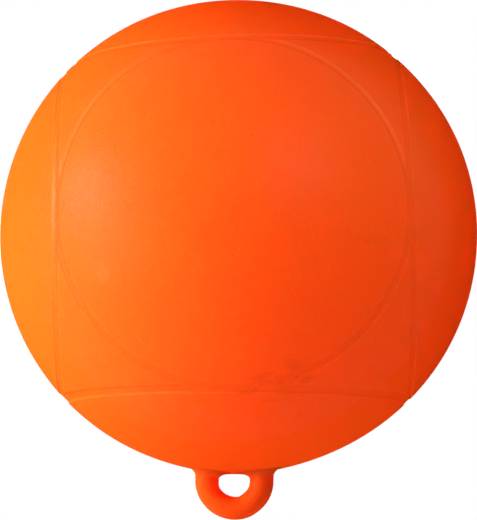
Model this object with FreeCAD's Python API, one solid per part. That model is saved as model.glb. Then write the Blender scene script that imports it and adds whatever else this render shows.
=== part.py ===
"""A round inflatable buoy for a water ski course.

A hollow vinyl ball carries six shallow ring channels, laid out like circles drawn
on the faces of a cube, so that each ring touches its four neighbours.  A thick
loop for the anchor line stands on a root pad that closes the ball's lower pole.
The air valve is low on the back: a hard seat pressed through a boss inside the
wall, with a soft core that closes round an inflating needle.

Millimetres.  The origin is the ball's centre, +Z is up and -Y is the front.  The
loop hangs down at -Z, and its hole runs along Y.
"""

import FreeCAD
import Part

import math
import os

# --- driving dimensions ------------------------------------------------------
BALL_DIAMETER = 228.6       # nine inches, blown up
WALL = 2.2                  # vinyl skin

RING_HALF_ANGLE = 45.0      # from a ring's axis to the middle of its channel
RING_WIDTH = 5.2            # channel width at the skin, measured along the ball
RING_DEPTH = 0.5
RING_SIDE_WIDTH = 1.1       # run-out of each sloping side of the channel

EYE_BORE_RADIUS = 7.4       # clear radius inside the loop
EYE_CORD_RADIUS = 5.5       # the loop's own round section
EYE_DROP = 2.4              # from the lower pole down to the loop's centre
EYE_FILLET = 2.4            # blend from the loop into its pad
ROOT_RADIUS = 27.0          # rim of the root pad
ROOT_THICKNESS = 8.0        # middle of the pad, behind the loop
ROOT_STEP = 2.0             # rim's inner ledge, level with the ball's wall
ROOT_CORE_HALF_WIDTH = 19.0 # flat middle of the pad's inner side

VALVE_ANGLE = 30.0          # from the lower pole round towards the back
FLANGE_RADIUS = 8.0
FLANGE_THICKNESS = 2.3      # at the flange's middle
SEAT_STEM_RADIUS = 5.0
BARB_HEIGHT = 0.8           # how far the barb stands out behind the boss
BARB_LENGTH = 2.4
BARB_TIP_RADIUS = 4.4
BOSS_RADIUS = 11.5
BOSS_LENGTH = 11.0          # from the skin to the boss's inner end
BOSS_FILLET = 2.0           # blend from the boss into the wall
CORE_HEAD_RADIUS = 4.8
CORE_HEAD_THICKNESS = 1.3
CORE_STEM_RADIUS = 3.2
CORE_TAIL = 1.5             # how far the core's end passes the seat
NEEDLE_RADIUS = 1.1
NEEDLE_DEPTH = 10.0

FIT = 0.05                  # radial clearance round the valve's round pieces

# --- what follows from them --------------------------------------------------
BALL_RADIUS = BALL_DIAMETER / 2
FLOOR_RADIUS = BALL_RADIUS - RING_DEPTH             # bottom of the ring channels
INNER_RADIUS = BALL_RADIUS - WALL
MID_WALL_RADIUS = (FLOOR_RADIUS + INNER_RADIUS) / 2
OUTSIDE = BALL_RADIUS * 1.05                        # clear of the ball's skin
HALF_WIDTH_ANGLE = math.degrees(RING_WIDTH / 2 / BALL_RADIUS)
SIDE_ANGLE = math.degrees(RING_SIDE_WIDTH / BALL_RADIUS)
SIDE_RUN_OUT = SIDE_ANGLE * (OUTSIDE - BALL_RADIUS) / RING_DEPTH    # up to OUTSIDE

EYE_RADIUS = EYE_BORE_RADIUS + EYE_CORD_RADIUS      # to the middle of the cord
EYE_CENTRE_Z = -(BALL_RADIUS + EYE_DROP)
ROOT_ANGLE = math.degrees(math.asin(ROOT_RADIUS / BALL_RADIUS))
ROOT_LEDGE_ANGLE = ROOT_ANGLE - math.degrees(ROOT_STEP / BALL_RADIUS)
ROOT_CORE_HEIGHT = BALL_RADIUS - ROOT_THICKNESS

FLANGE_SEAT = BALL_RADIUS - FLANGE_THICKNESS        # heights on the valve's axis
HEAD_SEAT = BALL_RADIUS - CORE_HEAD_THICKNESS
BOSS_END = BALL_RADIUS - BOSS_LENGTH
BARB_END = BOSS_END - BARB_LENGTH
CORE_END = BARB_END - CORE_TAIL
NEEDLE_END = BALL_RADIUS - NEEDLE_DEPTH

V = FreeCAD.Vector
ORIGIN = V(0, 0, 0)
X, Y, Z = V(1, 0, 0), V(0, 1, 0), V(0, 0, 1)
VALVE_AXIS = V(0, math.sin(math.radians(VALVE_ANGLE)), -math.cos(math.radians(VALVE_ANGLE)))


# --- helpers -----------------------------------------------------------------
def polar(radius, angle):
    """A point in the XZ plane, at an angle from +Z."""
    a = math.radians(angle)
    return V(radius * math.sin(a), 0, radius * math.cos(a))


def line(a, b):
    return Part.LineSegment(a, b).toShape()


def arc(radius, start, end):
    """An arc about the origin in the XZ plane, between two angles from +Z."""
    points = [polar(radius, a) for a in (start, (start + end) / 2, end)]
    return Part.Arc(*points).toShape()


def revolve(edges):
    """A solid of revolution about Z, from a closed outline in the XZ plane."""
    face = Part.Face(Part.Wire(Part.__sortEdges__(edges)))
    return face.revolve(ORIGIN, Z, 360)


def facing(shape, direction):
    """The shape turned so that its +Z points along a direction."""
    turned = shape.copy()
    turned.Placement = FreeCAD.Placement(ORIGIN, FreeCAD.Rotation(Z, direction))
    return turned


def rod(radius, low, high):
    """A round rod on the Z axis, between two heights."""
    return Part.makeCylinder(radius, high - low, V(0, 0, low), Z)


def ball(radius):
    """A ball with its poles on the X axis and its seam off the Z axis."""
    whole = Part.makeSphere(radius, ORIGIN, X)
    whole.rotate(ORIGIN, X, 90)
    return whole


# --- the ball's skin ---------------------------------------------------------
def round_panel():
    """The raised disc of skin inside one ring, on the +Z axis."""
    rim = RING_HALF_ANGLE - HALF_WIDTH_ANGLE
    foot = rim + SIDE_ANGLE
    run_out = rim - SIDE_RUN_OUT
    sides = revolve([
        line(polar(MID_WALL_RADIUS, 0), polar(OUTSIDE, 0)),
        arc(OUTSIDE, 0, run_out),
        line(polar(OUTSIDE, run_out), polar(BALL_RADIUS, rim)),
        line(polar(BALL_RADIUS, rim), polar(FLOOR_RADIUS, foot)),
        line(polar(FLOOR_RADIUS, foot), polar(MID_WALL_RADIUS, foot)),
        arc(MID_WALL_RADIUS, foot, 0),
    ])
    return ball(BALL_RADIUS).common(sides)


def ring_cutter():
    """Everything within a ring's outer side, on the +Z axis."""
    rim = RING_HALF_ANGLE + HALF_WIDTH_ANGLE
    foot = rim - SIDE_ANGLE
    run_out = rim + SIDE_RUN_OUT
    inside = INNER_RADIUS
    return revolve([
        line(polar(inside, 0), polar(OUTSIDE, 0)),
        arc(OUTSIDE, 0, run_out),
        line(polar(OUTSIDE, run_out), polar(BALL_RADIUS, rim)),
        line(polar(BALL_RADIUS, rim), polar(FLOOR_RADIUS, foot)),
        line(polar(FLOOR_RADIUS, foot), polar(inside, foot)),
        arc(inside, foot, 0),
    ])


def corner_panel():
    """The raised three-cornered patch between three rings, where X, Y and Z are positive."""
    octant = Part.makeBox(OUTSIDE, OUTSIDE, OUTSIDE)
    patch = ball(BALL_RADIUS).cut(ball(MID_WALL_RADIUS)).common(octant)
    for direction in (X, Y, Z):
        patch = patch.cut(facing(ring_cutter(), direction))
    return patch


def skin():
    """The ball's outside, still solid: six round panels and eight corners on a plain ball."""
    panel = round_panel()
    panels = [facing(panel, d) for d in (X, -X, Y, -Y, Z, -Z)]
    corner = corner_panel()
    for quarter in range(4):
        upper = corner.copy()
        upper.rotate(ORIGIN, Z, 90 * quarter)
        lower = upper.copy()
        lower.rotate(ORIGIN, X, 180)
        panels += [upper, lower]
    return ball(FLOOR_RADIUS).fuse(panels)


def cavity():
    """The air space, with the valve boss left standing in it, on the +Z axis."""
    space = ball(INNER_RADIUS).cut(rod(BOSS_RADIUS, BOSS_END, OUTSIDE))
    wall_height = math.sqrt(INNER_RADIUS ** 2 - BOSS_RADIUS ** 2)
    at_wall = [e for e in space.Edges if abs(e.CenterOfMass.z - wall_height) < FIT]
    return space.makeFillet(BOSS_FILLET, at_wall)


def root_opening():
    """The conical hole for the root pad, turned so that its seam misses the panel's seam."""
    hole = facing(revolve([
        line(ORIGIN, polar(OUTSIDE, 0)),
        arc(OUTSIDE, 0, ROOT_ANGLE),
        line(polar(OUTSIDE, ROOT_ANGLE), ORIGIN),
    ]), -Z)
    hole.rotate(ORIGIN, Z, 45)
    return hole


def make_shell():
    """The ball, open at the lower pole for the root pad and bored for the valve."""
    valve_bore = rod(FLANGE_RADIUS + FIT, FLANGE_SEAT, OUTSIDE)
    valve_bore = valve_bore.fuse(rod(SEAT_STEM_RADIUS + FIT, CORE_END, OUTSIDE))
    shell = skin().cut(facing(cavity(), VALVE_AXIS)).cut(root_opening())
    return shell.cut(facing(valve_bore, VALVE_AXIS))


# --- the anchor loop ---------------------------------------------------------
def make_eye():
    """A U-shaped loop of round cord on a pad that fills the ball's lower opening."""
    core_edge = V(ROOT_CORE_HALF_WIDTH, 0, ROOT_CORE_HEIGHT)
    plug = revolve([
        line(V(0, 0, ROOT_CORE_HEIGHT), polar(OUTSIDE, 0)),
        arc(OUTSIDE, 0, ROOT_ANGLE),
        line(polar(OUTSIDE, ROOT_ANGLE), polar(INNER_RADIUS, ROOT_ANGLE)),
        arc(INNER_RADIUS, ROOT_ANGLE, ROOT_LEDGE_ANGLE),
        line(polar(INNER_RADIUS, ROOT_LEDGE_ANGLE), core_edge),
        line(core_edge, V(0, 0, ROOT_CORE_HEIGHT)),
    ])
    pad = facing(plug.common(ball(BALL_RADIUS)), -Z)
    section = Part.Face(Part.Wire(Part.makeCircle(EYE_CORD_RADIUS, V(EYE_RADIUS, 0, EYE_CENTRE_Z), Z)))
    bow = section.revolve(V(0, 0, EYE_CENTRE_Z), Y, 180)
    leg_length = EYE_DROP + ROOT_THICKNESS / 2
    legs = [
        Part.makeCylinder(EYE_CORD_RADIUS, leg_length, V(side * EYE_RADIUS, 0, EYE_CENTRE_Z), Z)
        for side in (-1, 1)
    ]
    eye = pad.fuse([bow] + legs).removeSplitter()
    foot_depth = BALL_RADIUS - EYE_RADIUS
    feet = [
        e for e in eye.Edges
        if -BALL_RADIUS - FIT < e.CenterOfMass.z < -foot_depth
        and e.BoundBox.XLength < 2 * EYE_CORD_RADIUS + FIT
        and e.BoundBox.YLength > EYE_CORD_RADIUS
    ]
    return eye.makeFillet(EYE_FILLET, feet)


# --- the valve ---------------------------------------------------------------
def make_valve_seat():
    """A flanged tube, flush with the skin and barbed behind the boss."""
    flange = rod(FLANGE_RADIUS, FLANGE_SEAT, OUTSIDE).common(ball(BALL_RADIUS))
    stem = rod(SEAT_STEM_RADIUS, BOSS_END, BALL_RADIUS - FLANGE_THICKNESS / 2)
    barb = Part.makeCone(
        BARB_TIP_RADIUS, SEAT_STEM_RADIUS + BARB_HEIGHT, BARB_LENGTH, V(0, 0, BARB_END), Z)
    bore = rod(CORE_STEM_RADIUS + FIT, CORE_END, OUTSIDE)
    bore = bore.fuse(rod(CORE_HEAD_RADIUS + FIT, HEAD_SEAT, OUTSIDE))
    return facing(flange.fuse([stem, barb]).removeSplitter().cut(bore), VALVE_AXIS)


def make_valve_core():
    """A soft plug with a blind hole for the needle."""
    head = rod(CORE_HEAD_RADIUS, HEAD_SEAT, OUTSIDE).common(ball(BALL_RADIUS))
    stem = rod(CORE_STEM_RADIUS, CORE_END, HEAD_SEAT)
    needle_hole = rod(NEEDLE_RADIUS, NEEDLE_END, OUTSIDE)
    return facing(head.fuse(stem).removeSplitter().cut(needle_hole), VALVE_AXIS)


# --- output ------------------------------------------------------------------
os.makedirs("parts", exist_ok=True)
make_shell().exportStep("parts/shell.step")
make_eye().exportStep("parts/eye.step")
make_valve_seat().exportStep("parts/valve_seat.step")
make_valve_core().exportStep("parts/valve_core.step")
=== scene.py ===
"""The looks of the inflatable water ski buoy: skin, anchor loop, valve, light and camera.

Metres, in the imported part's frame: the ball's centre is the origin, +Z is up and the
camera looks along +Y from a little below the ball's middle.
"""

import math

import bmesh
import bpy
import numpy as np
from mathutils import Euler, Matrix, Vector


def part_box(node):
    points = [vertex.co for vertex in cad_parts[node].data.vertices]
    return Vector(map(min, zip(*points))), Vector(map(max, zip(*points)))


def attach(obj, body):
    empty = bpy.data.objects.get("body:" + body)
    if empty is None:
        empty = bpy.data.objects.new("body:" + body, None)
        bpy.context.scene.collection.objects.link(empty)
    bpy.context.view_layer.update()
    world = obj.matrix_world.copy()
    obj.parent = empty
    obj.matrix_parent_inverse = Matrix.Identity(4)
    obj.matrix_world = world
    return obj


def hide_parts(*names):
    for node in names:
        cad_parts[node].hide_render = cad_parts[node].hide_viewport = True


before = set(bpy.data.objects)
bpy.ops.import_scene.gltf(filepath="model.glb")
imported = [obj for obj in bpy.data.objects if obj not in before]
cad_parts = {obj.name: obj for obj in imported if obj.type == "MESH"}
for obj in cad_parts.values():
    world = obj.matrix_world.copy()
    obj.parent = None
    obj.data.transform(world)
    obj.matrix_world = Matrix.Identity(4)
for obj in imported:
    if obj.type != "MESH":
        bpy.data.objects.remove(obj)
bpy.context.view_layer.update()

MM = 0.001
SHELL_LOW, SHELL_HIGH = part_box("shell")
BALL_RADIUS = (SHELL_HIGH[0] - SHELL_LOW[0]) / 2

# --- ring channels -----------------------------------------------------------
# Each ring is a circle round the ball: the way its axis points, the angle in degrees from
# that axis to the middle of its channel, and the channel's width.  The five in view follow
# the photograph; the back one is a guess.
RINGS = {
    "front": ((0.0, -1.0, 0.0), 44.25, 4.0 * MM),
    "back": ((-0.069, 1.0, 0.073), 46.7, 4.3 * MM),
    "left": ((-1.0, -0.045, -0.013), 42.75, 4.2 * MM),
    "right": ((1.0, 0.031, 0.059), 47.2, 4.2 * MM),
    "top": ((-0.050, -0.058, 1.0), 42.6, 4.1 * MM),
    "bottom": ((0.009, 0.011, -1.0), 46.1, 4.6 * MM),
}
# Where a ring strays from its circle: direction, spread in degrees, shift of the skin in mm.
PULLS = (
    ((-0.49, -0.72, 0.49), 14, (-0.8, 1.1, 0.8)),
)
SIDE_DEPTH = 0.34 * MM      # steep step at each side of a channel
SIDE_RUN = 0.6 * MM         # width of that step
SCOOP_DEPTH = 0.16 * MM     # hollow of the channel's floor, besides
# Arcs where the channel's light and dark lines differ from the rest in the photograph.  Depth
# and tint are set to give those lines under these lamps, and aren't measured: ring, direction,
# spread in degrees, change of depth, how strong the painted light is beside the edges, and the
# pale half (1 the outer one, -1 the one towards the ring's axis).  The tint is painted light on
# one half of the channel and painted shade on the other.
TUNED_ARCS = (
    ("front", (0.59, -0.69, 0.43), 25, 0.4, 2.3, 1),
    ("front", (-0.60, -0.68, 0.42), 23, -0.6, 1.7, 1),
    ("front", (-0.72, -0.69, 0.05), 13, -0.4, 2.2, 1),
    ("front", (-0.62, -0.60, -0.50), 22, -0.45, 0.0, 1),
    ("left", (-0.74, -0.66, 0.0), 60, -0.5, 0.0, -1),
    ("left", (-0.75, -0.64, 0.04), 12, -0.5, 2.4, -1),
)
TINT_RUN = 1.2 * MM         # from the dark half to the pale half
RIM_OUT = 0.5 * MM          # painted light on the edge: out from the middle of the side
RIM_SPREAD = 0.3 * MM
# Rows of mesh along each side of a channel, in mm out from the middle of the side.
SIDE_ROWS = (-1.2, -0.4, -0.24, -0.08, 0.08, 0.24, 0.4, 0.7, 1.1)

# --- valve well --------------------------------------------------------------
VALVE_AXIS = Vector((0.0, 0.5, -0.866025))
WELL_RADIUS = 8.08 * MM     # just wider than the valve's flange
WELL_DEPTH = 2.6 * MM
WELL_WALL = 0.1 * MM        # run of the well's steep wall

# --- the ball out of round ---------------------------------------------------
# Soft swells (+) and flats (-) of the blown-up skin, fitted to the photograph's outline:
# direction, spread in degrees, size.
SWELLS = (
    ((0.375, 0.0, -0.927), 40, -1.88 * MM),     # slack towards the lower right
    ((-0.423, 0.0, -0.906), 50, -0.51 * MM),
    ((0.035, 0.0, 0.999), 22, -0.68 * MM),      # flat crown
    ((0.927, 0.0, 0.375), 22, 0.47 * MM),
    ((-0.766, 0.0, 0.643), 20, 0.14 * MM),
)
VALVE_HOLD = 24             # degrees round the valve kept round by its moulded boss

# --- loop --------------------------------------------------------------------
# Stations down the loop's right side, under and up its left: angle below +X in degrees, and
# in mm the distance of the cord's middle from the loop's centre and the cord's radius.
LOOP_CENTRE = -116.65 * MM
LOOP = (
    (0, 12.92, 5.64), (26, 12.93, 5.58), (50, 12.80, 5.55), (74, 13.02, 5.40),
    (110, 12.77, 5.46), (134, 12.87, 5.41), (157, 13.10, 5.36), (180, 13.02, 5.60),
)
ROOT_RISE = 2.8 * MM        # the fillet's height up each leg
ROOT_INNER = 6.0 * MM       # its reach over the skin towards the other leg
ROOT_OUTER = {-1: 3.4 * MM, 1: 4.0 * MM}        # away from it, left leg and right leg
ROOT_SIDE = 3.0 * MM        # to the front and back
PAD_HALF = (18.5 * MM, 6.5 * MM)                # half sizes of the soft pad under the loop
PAD_EDGE = 3.0 * MM         # half the width of the pad's soft edge
PAD_HEIGHT = 0.65 * MM

# --- meshes ------------------------------------------------------------------
GRID = 52                   # squares along each side of the ball's base mesh
GRID_TURN = (0.62, 0.41, 0.23)                  # keeps the rings off the lines of the grid
LOOP_REACH = 15             # degrees from the lower pole where the mesh is finer
LOOP_CUTS = 2               # extra cuts of each square there
AROUND = 64                 # faces round the loop's cord
BENDS = 72                  # faces along its half circle
FLARE = 12                  # faces over each root's fillet
ROOT_BELOW = 1.5 * MM       # the tube's hidden end, in from the cord's skin
ROOT_BEYOND = 0.5 * MM      # its hidden widest ring, out from the fillet's edge
LEG_STEPS = (0.33, 0.67)    # rings down the straight leg, as shares of its length


def smooth(t):
    """0 to 1 with level ends."""
    t = np.clip(t, 0.0, 1.0)
    return t * t * (3.0 - 2.0 * t)


def angles_from(points, axis):
    return np.arccos(np.clip(points @ np.array(axis), -1.0, 1.0))


def nearness(points, direction, spread):
    """1 at a direction, falling off softly over a spread in degrees."""
    angle = angles_from(points, Vector(direction).normalized()) / math.radians(spread)
    return np.exp(-angle ** 2)


# --- the ball ----------------------------------------------------------------
def base_ball(bm):
    """A unit ball of near-even squares, turned so that no ring runs along its grid."""
    bmesh.ops.create_cube(bm, size=2.0)
    bmesh.ops.subdivide_edges(bm, edges=bm.edges[:], cuts=GRID - 1, use_grid_fill=True)
    turn = Euler(GRID_TURN).to_matrix()
    for v in bm.verts:
        even = Vector([math.tan(c * math.pi / 4) for c in v.co])
        v.co = turn @ even.normalized()


def cut_circle(bm, axis, angle):
    """Run an edge loop round the ball at an angle from an axis."""
    bmesh.ops.bisect_plane(
        bm, geom=bm.verts[:] + bm.edges[:] + bm.faces[:], dist=1e-6,
        plane_co=axis * math.cos(angle), plane_no=axis)


def channels(points):
    """How deep each point lies in a channel, how dark its floor is painted and how pale its rim,
    as painted shade and painted light.
    """
    depth, floor, rim = np.zeros((3, len(points)))
    for name, (axis, angle, width) in RINGS.items():
        from_axis = angles_from(points, Vector(axis).normalized())
        outward = BALL_RADIUS * (from_axis - math.radians(angle))
        off_middle = np.abs(outward)
        past_side = off_middle - width / 2
        inside = smooth(0.5 - past_side / SIDE_RUN)
        scoop = np.clip(1.0 - (2 * off_middle / width) ** 2, 0.0, 1.0)
        deep = SIDE_DEPTH * inside + SCOOP_DEPTH * scoop
        darkness = inside
        for ring, direction, spread, change, paleness, pale_half in TUNED_ARCS:
            if ring != name:
                continue
            near = nearness(points, direction, spread)
            # Painted light on the pale half of the channel, painted shade on the other half.
            tint = near * (2.0 * smooth(0.5 + pale_half * outward / TINT_RUN) - 1.0)
            deep = deep * (1.0 + change * near)
            darkness = darkness * (1.0 - tint)
            rim = np.maximum(rim, tint * inside * paleness)
        depth = np.maximum(depth, deep)
        floor = np.maximum(floor, darkness)
        # Painted light on a thin line just outside each side of the channel.
        rim = np.maximum(rim, np.exp(-((past_side - RIM_OUT) / RIM_SPREAD) ** 2))
    return depth, floor, rim * np.clip(1.0 - floor, 0.0, 1.0)


def pulled(points):
    """The points slid over the ball to where the moulded lines stray."""
    moved = points.copy()
    for direction, spread, shift in PULLS:
        moved += nearness(points, direction, spread)[:, None] * np.array(shift) * MM / BALL_RADIUS
    return moved / np.linalg.norm(moved, axis=1)[:, None]


def well_depth(points):
    """How deep each point lies in the well round the valve."""
    angle = angles_from(points, VALVE_AXIS)
    edge = WELL_RADIUS / BALL_RADIUS
    return WELL_DEPTH * smooth((edge - angle) / (WELL_WALL / BALL_RADIUS) + 0.5)


def skin_radius(points):
    """Distance from the ball's centre to the skin, before the channels."""
    swell = np.zeros(len(points))
    for direction, spread, size in SWELLS:
        swell += size * nearness(points, direction, spread)
    from_valve = angles_from(points, VALVE_AXIS) / math.radians(VALVE_HOLD)
    swell *= 1.0 - np.exp(-from_valve ** 4)
    over_x = 0.5 - (np.abs(points[:, 0]) * BALL_RADIUS - PAD_HALF[0]) / (2 * PAD_EDGE)
    over_y = 0.5 - (np.abs(points[:, 1]) * BALL_RADIUS - PAD_HALF[1]) / (2 * PAD_EDGE)
    pad = smooth(over_x) * smooth(over_y) * (points[:, 2] < 0)
    return BALL_RADIUS + swell + PAD_HEIGHT * pad


def refine(bm, axis, reach, cuts):
    """Cut the squares within an angle of an axis finer."""
    edges = [e for e in bm.edges if all(v.co.normalized().angle(axis) < reach for v in e.verts)]
    bmesh.ops.subdivide_edges(bm, edges=edges, cuts=cuts, use_grid_fill=True)


def make_object(name, mesh):
    mesh.shade_smooth()
    obj = bpy.data.objects.new(name, mesh)
    bpy.context.scene.collection.objects.link(obj)
    return obj


def make_ball():
    """The ball's skin, with its channels, swells, pad and valve well."""
    bm = bmesh.new()
    base_ball(bm)
    refine(bm, Vector((0, 0, -1)), math.radians(LOOP_REACH), LOOP_CUTS)
    for axis, angle, width in RINGS.values():
        for side in (-1, 1):
            for row in SIDE_ROWS:
                out = side * (width / 2 + row * MM) / BALL_RADIUS
                cut_circle(bm, Vector(axis).normalized(), math.radians(angle) + out)
    for offset in (-WELL_WALL / 2, WELL_WALL / 2):
        cut_circle(bm, VALVE_AXIS, (WELL_RADIUS + offset) / BALL_RADIUS)
    moulded = np.array([v.co.normalized() for v in bm.verts])
    depth, floor, rim = channels(moulded)
    points = pulled(moulded)
    radius = skin_radius(points) - depth - well_depth(points)
    widest = np.abs(points[:, :2] * radius[:, None]).max()
    radius *= min(1.0, BALL_RADIUS / widest)    # stays within the solid's reach
    for v, p, r in zip(bm.verts, points, radius):
        v.co = p * r
    mesh = bpy.data.meshes.new("ball_skin")
    bm.to_mesh(mesh)
    bm.free()
    # Shares of painted shade on the channels' floors and painted light on their edges.
    for name, share in (("channel", floor), ("rim", rim)):
        mesh.attributes.new(name, "FLOAT", "POINT").data.foreach_set("value", share)
    return make_object("ball_skin", mesh)


# --- the loop ----------------------------------------------------------------
def skin_below(x, y):
    """Height of the skin at a place under the ball."""
    level = -math.sqrt(BALL_RADIUS ** 2 - x * x - y * y)
    radius = skin_radius(np.array([Vector((x, y, level)).normalized()]))[0]
    return -math.sqrt(radius ** 2 - x * x - y * y)


def loop_station(angle):
    """How far the cord's middle is from the loop's centre, and its radius, at an angle."""
    for (a, far_a, cord_a), (b, far_b, cord_b) in zip(LOOP, LOOP[1:]):
        if angle <= b:
            t = smooth((angle - a) / (b - a))
            return (far_a + (far_b - far_a) * t) * MM, (cord_a + (cord_b - cord_a) * t) * MM
    return LOOP[-1][1] * MM, LOOP[-1][2] * MM


def root_reach(side, outward):
    """How far the fillet runs over the skin; outward is 1 away from the other leg, -1 to it."""
    reach = ROOT_SIDE
    reach += (ROOT_OUTER[side] - ROOT_SIDE) * max(0.0, outward) ** 2
    reach += (ROOT_INNER - ROOT_SIDE) * max(0.0, -outward) ** 2
    return reach


def turns_round():
    """Angles round the cord."""
    return [2 * math.pi * k / AROUND for k in range(AROUND)]


def root_rings(side):
    """Rings of points from inside the ball down one leg to the half circle."""
    middle, cord = loop_station(0 if side > 0 else 180)

    def ring(out_by, rise_by, wider=0.0, drop=0.0):
        """Shares of the fillet's reach, of its height and of the way on to the half circle."""
        points = []
        for turn in turns_round():
            out = cord + out_by * root_reach(side, math.cos(turn)) + wider
            x = side * (middle + out * math.cos(turn))
            y = out * math.sin(turn)
            z = skin_below(x, y) - rise_by * ROOT_RISE
            points.append(Vector((x, y, z + (LOOP_CENTRE - z) * drop)))
        return points

    # Two rings hidden in the wall, the fillet, then the straight leg.
    rings = [ring(0.0, -0.5, wider=-ROOT_BELOW), ring(1.0, -0.12, wider=ROOT_BEYOND)]
    for step in range(FLARE, -1, -1):
        bend = math.pi / 2 * step / FLARE
        rings.append(ring(1.0 - math.cos(bend), 1.0 - math.sin(bend)))
    rings += [ring(0.0, 1.0, drop=drop) for drop in LEG_STEPS]
    return rings


def make_loop():
    """The U-shaped loop: one root, the half circle and the other root as one closed tube."""
    rings = root_rings(1)
    for k in range(BENDS + 1):
        angle = 180 * k / BENDS
        middle, cord = loop_station(angle)
        out = Vector((math.cos(math.radians(angle)), 0, -math.sin(math.radians(angle))))
        rings.append([
            Vector((0, 0, LOOP_CENTRE)) + out * (middle + cord * math.cos(turn))
            + Vector((0, cord * math.sin(turn), 0)) for turn in turns_round()])
    rings += root_rings(-1)[::-1]
    points = [p for ring in rings for p in ring]
    faces = []
    for k in range(len(rings) - 1):
        for j in range(AROUND):
            a, b = k * AROUND + j, k * AROUND + (j + 1) % AROUND
            faces.append((a, a + AROUND, b + AROUND, b))
    faces.append(tuple(range(AROUND)))
    faces.append(tuple(range(len(points) - 1, len(points) - 1 - AROUND, -1)))
    mesh = bpy.data.meshes.new("rope_loop")
    mesh.from_pydata(points, [], faces)
    bm = bmesh.new()
    bm.from_mesh(mesh)
    bmesh.ops.recalc_face_normals(bm, faces=bm.faces)
    bm.to_mesh(mesh)
    bm.free()
    return make_object("rope_loop", mesh)


ball = make_ball()
loop = make_loop()
for piece, node in ((ball, "shell"), (loop, "eye")):
    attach(piece, "root")
    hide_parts(node)


# --- materials ---------------------------------------------------------------
# Colours, linear.
VINYL_TONES = ((0.930, 0.092, 0.0061), (0.940, 0.100, 0.0069))      # it drifts between the two
# Darker tone of the scuffs, specks, dots and grain, and of the painted shade in the channels and
# in two bands.
GRIME_AND_PAINTED_SHADE = (0.50, 0.026, 0.0030)
# Paler tone of the worn marks and dots, and of the painted light on the channels' edges.
WORN_AND_PAINTED_LIGHT = (0.98, 0.26, 0.075)
PLASTIC_TONES = ((0.80, 0.070, 0.0060), (0.90, 0.095, 0.0080))
RUBBER = (0.018, 0.017, 0.016)
DUST = (0.060, 0.054, 0.048)
LOOP_SHADE = (0.86, 0.76, 0.70)     # stands in for shade that these lamps don't give the loop
CHANNEL_PAINTED_SHADE = 0.07        # how strong the painted shade is in the channels
GRAIN_GRIME = 0.07          # how strong the grime is in the grain's pits
RIM_PAINTED_LIGHT = 0.08             # how pale the painted light on the channels' edges is
# Dots: cells in a metre, radius in cells, share of the cells with a dot, how strong.
DARK_DOTS = (310, 0.13, 0.35, 0.12)
PALE_DOTS = (230, 0.13, 0.5, 0.16)
PALE_DOTS_FINE = (410, 0.16, 0.4, 0.14)
VINYL_GLOSS = 0.037         # where the skin faces the viewer
GLOSS_FADE = (0.32, 0.58)   # fades out between these, with 0 seen head-on and 1 edge-on
VINYL_ROUGHNESS = (0.29, 0.25)                  # it drifts between the two
VALVE_GLOSS = 0.12
# How far light spreads inside.  The ball's red goes much farther than in real vinyl, for the
# photograph's even red.
BALL_GLOW = 500 * MM
LOOP_GLOW = 25 * MM
GREEN_SPREAD = 0.3 * MM
BLUE_SPREAD = 0.2 * MM
# Scuffs, and two broad bands of painted shade: middle and half sizes in mm, turn about Y in
# degrees, how strong, how streaky.
SCUFFS_AND_PAINTED_SHADE = (
    ((14, -85, -74.5), (8, 10, 2.2), -14, 0.22, 0.5),
    ((9, -81, -79.5), (13, 10, 4), -24, 0.28, 1.0),
    ((26, -82, -75), (12, 10, 4), -22, 0.24, 0.9),
    ((28.5, -86, -69.5), (6, 8, 4), 12, 0.20, 0.3),
    ((29.7, -81.5, -74.4), (1.8, 4, 1.8), 0, 0.34, 0.0),
    ((34.0, -78.6, -75.0), (5, 6, 2.4), -18, 0.30, 0.3),
    ((29, -77, -79.4), (6, 6, 1.8), -35, 0.18, 0.5),
    ((18, -75, -84.3), (6, 6, 1.4), 8, 0.14, 0.3),
    ((-11, -60, -96.5), (6, 5, 3), -20, 0.16, 0.5),
    # Painted shade along the edge of the key light's lit side, not a scuff.
    ((-6, -113, -10), (9, 8, 24), 32, 0.08, 0.8),
    ((-39, -98, 44), (14, 10, 5), 25, 0.08, 0.8),
    # Painted shade: a thin dark band across the right side, along the edge of a lit patch, not a
    # scuff.
    ((62, -95, -14), (30, 16, 4), 6, 0.07, 0.8),
)
DARK_SPECKS = (             # middle and radius in mm
    ((9, -110.1, 29.3), 0.7), ((-8.5, -108.4, 35.3), 0.8), ((3.6, -109.7, 32), 0.6),
    ((3.2, -114, 7.9), 0.6), ((1.1, -111.6, -24.6), 0.8), ((3.1, -113.5, -12.9), 0.7),
)
PALE_MARKS = (
    ((-57, -94, -31), (5, 6, 8), 20, 0.16, 0.8),
    ((-40.4, -88.8, -59.4), (3.5, 3, 0.7), 42, 0.10, 0.0),
)


def new_material(name):
    material = bpy.data.materials.new(name)
    material.use_nodes = True
    return material, material.node_tree.nodes, material.node_tree.links


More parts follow.
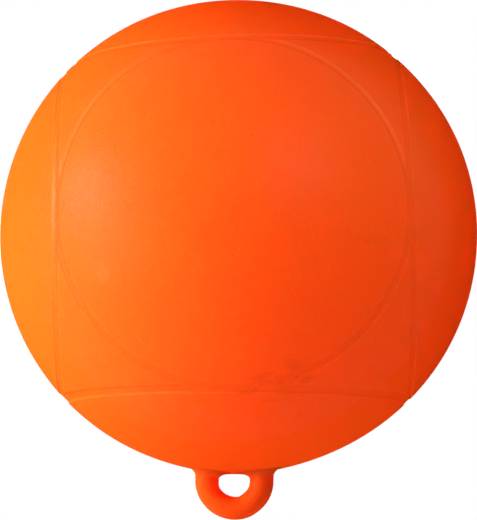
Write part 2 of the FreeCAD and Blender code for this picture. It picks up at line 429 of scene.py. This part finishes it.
class Maker:
    """Short ways to add and join shader nodes."""

    def __init__(self, nodes, links):
        self.nodes, self.links = nodes, links
        self.place = nodes.new("ShaderNodeTexCoord").outputs["Object"]

    def noise(self, scale, detail=2.0, rough=0.5, place=None):
        """Noise from 0 to 1; on the object a scale of 100 makes features of about 10 mm."""
        node = self.nodes.new("ShaderNodeTexNoise")
        node.inputs["Scale"].default_value = scale
        node.inputs["Detail"].default_value = detail
        node.inputs["Roughness"].default_value = rough
        self.links.new(place or self.place, node.inputs["Vector"])
        return node.outputs["Fac"]

    def ramp(self, value, start, end, low=0.0, high=1.0):
        """low up to start, high from end, with a soft step between."""
        node = self.nodes.new("ShaderNodeMapRange")
        node.interpolation_type = "SMOOTHSTEP"
        for key, v in (("From Min", start), ("From Max", end), ("To Min", low), ("To Max", high)):
            node.inputs[key].default_value = v
        self.links.new(value, node.inputs["Value"])
        return node.outputs["Result"]

    def math(self, operation, a, b):
        """Two values joined by a sum, product or the like; either may be a plain number."""
        node = self.nodes.new("ShaderNodeMath")
        node.operation = operation
        for slot, v in ((0, a), (1, b)):
            if isinstance(v, (int, float)):
                node.inputs[slot].default_value = v
            else:
                self.links.new(v, node.inputs[slot])
        return node.outputs[0]

    def oval(self, middle, half, turn):
        """Distance from a place as a share of an oval's half sizes, and the place in the oval."""
        node = self.nodes.new("ShaderNodeMapping")
        node.vector_type = "TEXTURE"
        node.inputs["Location"].default_value = Vector(middle) * MM
        node.inputs["Rotation"].default_value = (0, math.radians(turn), 0)
        node.inputs["Scale"].default_value = Vector(half) * MM
        self.links.new(self.place, node.inputs["Vector"])
        size = self.nodes.new("ShaderNodeVectorMath")
        size.operation = "LENGTH"
        self.links.new(node.outputs[0], size.inputs[0])
        return size.outputs["Value"], node.outputs[0]

    def marks(self, marks):
        """The strongest of several soft ovals, broken up by noise where they are streaky."""
        total = None
        for middle, half, turn, strength, streaky in marks:
            distance, place = self.oval(middle, half, turn)
            mark = self.ramp(distance, 0.25, 1.0, strength, 0.0)
            if streaky:
                patchy = self.noise(2.2, 5.0, 0.65, place)
                broken = self.ramp(patchy, 0.42, 0.62, 1.0 - streaky, 1.0)
                mark = self.math("MULTIPLY", mark, broken)
            total = mark if total is None else self.math("MAXIMUM", total, mark)
        return total

    def on_mesh(self, name, strength):
        """A share stored on the mesh, times a strength; 0 on a mesh without it."""
        node = self.nodes.new("ShaderNodeAttribute")
        node.attribute_name = name
        return self.math("MULTIPLY", node.outputs["Fac"], strength)

    def dots(self, scale, size, share, strength):
        """Fine dots of one strength strewn through space, in a share of its cells."""
        node = self.nodes.new("ShaderNodeTexVoronoi")
        node.inputs["Scale"].default_value = scale
        self.links.new(self.place, node.inputs["Vector"])
        dot = self.ramp(node.outputs["Distance"], 0.5 * size, size, 1.0, 0.0)
        kept = self.nodes.new("ShaderNodeSeparateColor")
        self.links.new(node.outputs["Color"], kept.inputs[0])
        kept = self.ramp(kept.outputs[0], 1.0 - share, 1.0 - share + 0.02)
        return self.math("MULTIPLY", self.math("MULTIPLY", dot, kept), strength)

    def mix(self, amount, a, b):
        """Colour a where amount is 0, b where it is 1."""
        node = self.nodes.new("ShaderNodeMix")
        node.data_type = "RGBA"
        self.links.new(amount, node.inputs["Factor"])
        for key, v in (("A", a), ("B", b)):
            slot = [i for i in node.inputs if i.name == key and i.type == "RGBA"][0]
            if isinstance(v, tuple):
                slot.default_value = (*v, 1)
            else:
                self.links.new(v, slot)
        return [o for o in node.outputs if o.type == "RGBA"][0]

    def bump(self, height, strength, distance, under=None):
        """A bump, over another one if that is given."""
        node = self.nodes.new("ShaderNodeBump")
        node.inputs["Strength"].default_value = strength
        node.inputs["Distance"].default_value = distance
        self.links.new(height, node.inputs["Height"])
        if under:
            self.links.new(under, node.inputs["Normal"])
        return node.outputs["Normal"]


def vinyl(name, glow, shade):
    """Orange vinyl.  Red light enters it and comes out about the glow distance away; shade
    multiplies its colour."""
    material, nodes, links = new_material(name)
    shader = nodes["Principled BSDF"]
    make = Maker(nodes, links)
    cloud = make.math("MULTIPLY", make.noise(55, 4.0, 0.6), 0.5)
    cloud = make.math("ADD", make.noise(13, 3.0), cloud)
    tones = [tuple(np.array(tone) * shade) for tone in VINYL_TONES]
    colour = make.mix(make.ramp(cloud, 0.5, 1.0), *tones)

    # Scuffs and specks, and two bands of painted shade.
    dark = make.marks(SCUFFS_AND_PAINTED_SHADE)
    for middle, radius in DARK_SPECKS:
        distance, _ = make.oval(middle, (radius, radius, radius), 0)
        dark = make.math("MAXIMUM", dark, make.ramp(distance, 0.3, 1.0, 0.45, 0.0))
    dark = make.math("MAXIMUM", dark, make.dots(*DARK_DOTS))
    # Painted shade in the channels.
    dark = make.math("MAXIMUM", dark, make.on_mesh("channel", CHANNEL_PAINTED_SHADE))
    grain = make.noise(1300, 1.0)
    dark = make.math("ADD", dark, make.ramp(grain, 0.30, 0.60, GRAIN_GRIME, 0.0))
    colour = make.mix(dark, colour, GRIME_AND_PAINTED_SHADE)

    pale = make.math("MAXIMUM", make.marks(PALE_MARKS), make.dots(*PALE_DOTS))
    pale = make.math("MAXIMUM", pale, make.dots(*PALE_DOTS_FINE))
    # Painted light along the channels' edges.
    pale = make.math("MAXIMUM", pale, make.on_mesh("rim", RIM_PAINTED_LIGHT))
    colour = make.mix(pale, colour, WORN_AND_PAINTED_LIGHT)
    links.new(colour, shader.inputs["Base Color"])

    edge = nodes.new("ShaderNodeLayerWeight")
    sheen = make.ramp(edge.outputs["Facing"], *GLOSS_FADE, VINYL_GLOSS, 0.0)
    sheen = make.math("MULTIPLY", sheen, make.ramp(grain, 0.35, 0.65, 0.5, 1.5))
    links.new(sheen, shader.inputs["Specular IOR Level"])
    links.new(make.ramp(cloud, 0.5, 1.0, *VINYL_ROUGHNESS), shader.inputs["Roughness"])

    shader.subsurface_method = "BURLEY"
    shader.inputs["Subsurface Weight"].default_value = 0.9
    spread = (1.0, GREEN_SPREAD / glow, BLUE_SPREAD / glow)
    shader.inputs["Subsurface Radius"].default_value = spread
    shader.inputs["Subsurface Scale"].default_value = glow
    wavy = make.bump(make.noise(38, 2.0), 0.1, 0.0006)
    grainy = make.bump(make.noise(1200, 2.0, 0.6), 0.7, 0.00025, wavy)
    links.new(grainy, shader.inputs["Normal"])
    return material


def valve_plastic():
    material, nodes, links = new_material("valve_plastic")
    shader = nodes["Principled BSDF"]
    make = Maker(nodes, links)
    cloud = make.noise(260, 3.0)
    links.new(make.mix(cloud, *PLASTIC_TONES), shader.inputs["Base Color"])
    links.new(make.ramp(cloud, 0.3, 0.7, 0.28, 0.36), shader.inputs["Roughness"])
    shader.inputs["Specular IOR Level"].default_value = VALVE_GLOSS
    links.new(make.bump(make.noise(1400, 2.0), 0.2, 0.00005), shader.inputs["Normal"])
    return material


def valve_rubber():
    material, nodes, links = new_material("valve_rubber")
    shader = nodes["Principled BSDF"]
    make = Maker(nodes, links)
    dust = make.ramp(make.noise(420, 4.0, 0.6), 0.5, 0.75)
    links.new(make.mix(dust, RUBBER, DUST), shader.inputs["Base Color"])
    links.new(make.ramp(dust, 0.0, 1.0, 0.55, 0.8), shader.inputs["Roughness"])
    shader.inputs["Specular IOR Level"].default_value = VALVE_GLOSS
    links.new(make.bump(make.noise(1800, 2.0), 0.3, 0.00006), shader.inputs["Normal"])
    return material


def dress(obj, material):
    obj.data.materials.clear()
    obj.data.materials.append(material)


dress(ball, vinyl("orange_vinyl", BALL_GLOW, (1.0, 1.0, 1.0)))
dress(loop, vinyl("orange_vinyl_loop", LOOP_GLOW, LOOP_SHADE))
dress(bpy.data.objects["valve_seat"], valve_plastic())
dress(bpy.data.objects["valve_core"], valve_rubber())


# --- stage, light, camera ----------------------------------------------------
CAMERA_DISTANCE = 10.6 * BALL_RADIUS
CAMERA_AZIMUTH = 1.9        # degrees, as the next three
CAMERA_ELEVATION = -8.5
CAMERA_ROLL = 0.96
CAMERA_FIELD = 11.785       # top to bottom
SENSOR_HEIGHT = 24          # mm
LOOK_AT = Vector((0.16, 0.0, -10.8)) * MM
FLOOR_HEIGHT = -0.184       # just under the camera, so that the main view doesn't see it
FLOOR_HALF = 4.0
FLOOR_TONE = (0.8, 0.8, 0.8, 1)
FLOOR_SEEN_WHITE = 0.7      # share of plain white in what is seen of the floor
WHITE = (1, 1, 1, 1)
WORLD_LIT = 0.02            # the world's strength as light on the object
WORLD_SEEN = 1.0            # and as the white behind it


def compass(azimuth, elevation, distance):
    """A point at an azimuth round the ball, from -Y towards +X, and an elevation."""
    a, e = math.radians(azimuth), math.radians(elevation)
    return distance * Vector((math.sin(a) * math.cos(e), -math.cos(a) * math.cos(e), math.sin(e)))


def facing(position, target, roll=0.0):
    """The turn that points an object's -Z from a position at a target."""
    look = (target - position).to_track_quat("-Z", "Y").to_matrix().to_4x4()
    return Matrix.Translation(position) @ look @ Matrix.Rotation(math.radians(roll), 4, "Z")


camera_data = bpy.data.cameras.new("camera")
camera_data.sensor_fit = "VERTICAL"
camera_data.sensor_height = SENSOR_HEIGHT
camera_data.lens = SENSOR_HEIGHT / 2 / math.tan(math.radians(CAMERA_FIELD / 2))
camera = bpy.data.objects.new("camera", camera_data)
bpy.context.scene.collection.objects.link(camera)
camera_place = compass(CAMERA_AZIMUTH, CAMERA_ELEVATION, CAMERA_DISTANCE)
camera.matrix_world = facing(camera_place, LOOK_AT, CAMERA_ROLL)
bpy.context.scene.camera = camera


def softbox(name, azimuth, elevation, distance, width, height, watts, shines=True):
    """A lamp that faces the ball's centre; one that doesn't shine is kept out of reflections."""
    data = bpy.data.lights.new(name, "AREA")
    data.shape = "RECTANGLE"
    data.size, data.size_y = width, height
    data.energy = watts
    lamp = bpy.data.objects.new(name, data)
    bpy.context.scene.collection.objects.link(lamp)
    lamp.matrix_world = facing(compass(azimuth, elevation, distance), Vector((0, 0, 0)))
    lamp.visible_camera = False
    lamp.visible_glossy = shines


# Fitted to the photograph's shading, which doesn't tell where its lamps really stood.  Azimuth
# and elevation in degrees, distance, width and height in metres, watts.
softbox("key", -76, 15, 1.3, 0.25, 0.40, 10.6)
softbox("key_low", -80, 0, 1.3, 0.6, 0.3, 12.6, shines=False)
softbox("key_near", -60, 3, 0.6, 0.3, 0.4, 3.0)
softbox("fill", 26, 21, 0.35, 0.15, 0.15, 0.36)
softbox("fill_high", 48, 48, 0.45, 0.25, 0.25, 0.12)
softbox("rim", 180, 30, 1.4, 0.8, 0.8, 10.5)


def seen_directly(nodes, links):
    """1 for what the camera, a clear reflection or glass sees, 0 for light on the object."""
    path = nodes.new("ShaderNodeLightPath")
    total = path.outputs["Is Camera Ray"]
    for ray in ("Is Glossy Ray", "Is Transmission Ray"):
        node = nodes.new("ShaderNodeMath")
        node.operation = "MAXIMUM"
        links.new(total, node.inputs[0])
        links.new(path.outputs[ray], node.inputs[1])
        total = node.outputs[0]
    return total


def studio():
    """A dim world for the object that the camera and clear reflections see as white."""
    world = bpy.data.worlds.new("studio")
    bpy.context.scene.world = world
    world.use_nodes = True
    nodes, links = world.node_tree.nodes, world.node_tree.links
    nodes.clear()
    lit = nodes.new("ShaderNodeBackground")
    lit.inputs["Color"].default_value = WHITE
    lit.inputs["Strength"].default_value = WORLD_LIT
    seen = nodes.new("ShaderNodeBackground")
    seen.inputs["Color"].default_value = WHITE
    seen.inputs["Strength"].default_value = WORLD_SEEN
    mix = nodes.new("ShaderNodeMixShader")
    links.new(seen_directly(nodes, links), mix.inputs["Fac"])
    links.new(lit.outputs[0], mix.inputs[1])
    links.new(seen.outputs[0], mix.inputs[2])
    links.new(mix.outputs[0], nodes.new("ShaderNodeOutputWorld").inputs["Surface"])


def make_floor():
    """A pale floor just under the camera.  It is seen paler than it is lit, with the object's
    shadow, and lights the object only as a plain matt floor does."""
    bm = bmesh.new()
    bmesh.ops.create_grid(bm, x_segments=1, y_segments=1, size=FLOOR_HALF)
    mesh = bpy.data.meshes.new("floor")
    bm.to_mesh(mesh)
    bm.free()
    floor = bpy.data.objects.new("floor", mesh)
    floor.location = (0, 0, FLOOR_HEIGHT)
    bpy.context.scene.collection.objects.link(floor)
    material, nodes, links = new_material("pale_floor")
    shader = nodes["Principled BSDF"]
    shader.inputs["Base Color"].default_value = FLOOR_TONE
    shader.inputs["Roughness"].default_value = 0.9
    shader.inputs["Specular IOR Level"].default_value = 0.1
    pale = nodes.new("ShaderNodeEmission")
    pale.inputs["Color"].default_value = WHITE
    pale.inputs["Strength"].default_value = 1.0
    share = nodes.new("ShaderNodeMath")
    share.operation = "MULTIPLY"
    share.inputs[1].default_value = FLOOR_SEEN_WHITE
    links.new(seen_directly(nodes, links), share.inputs[0])
    mix = nodes.new("ShaderNodeMixShader")
    links.new(share.outputs[0], mix.inputs["Fac"])
    links.new(shader.outputs[0], mix.inputs[1])
    links.new(pale.outputs[0], mix.inputs[2])
    links.new(mix.outputs[0], nodes["Material Output"].inputs["Surface"])
    floor.data.materials.append(material)


studio()
make_floor()

bpy.context.scene.view_settings.view_transform = "Standard"
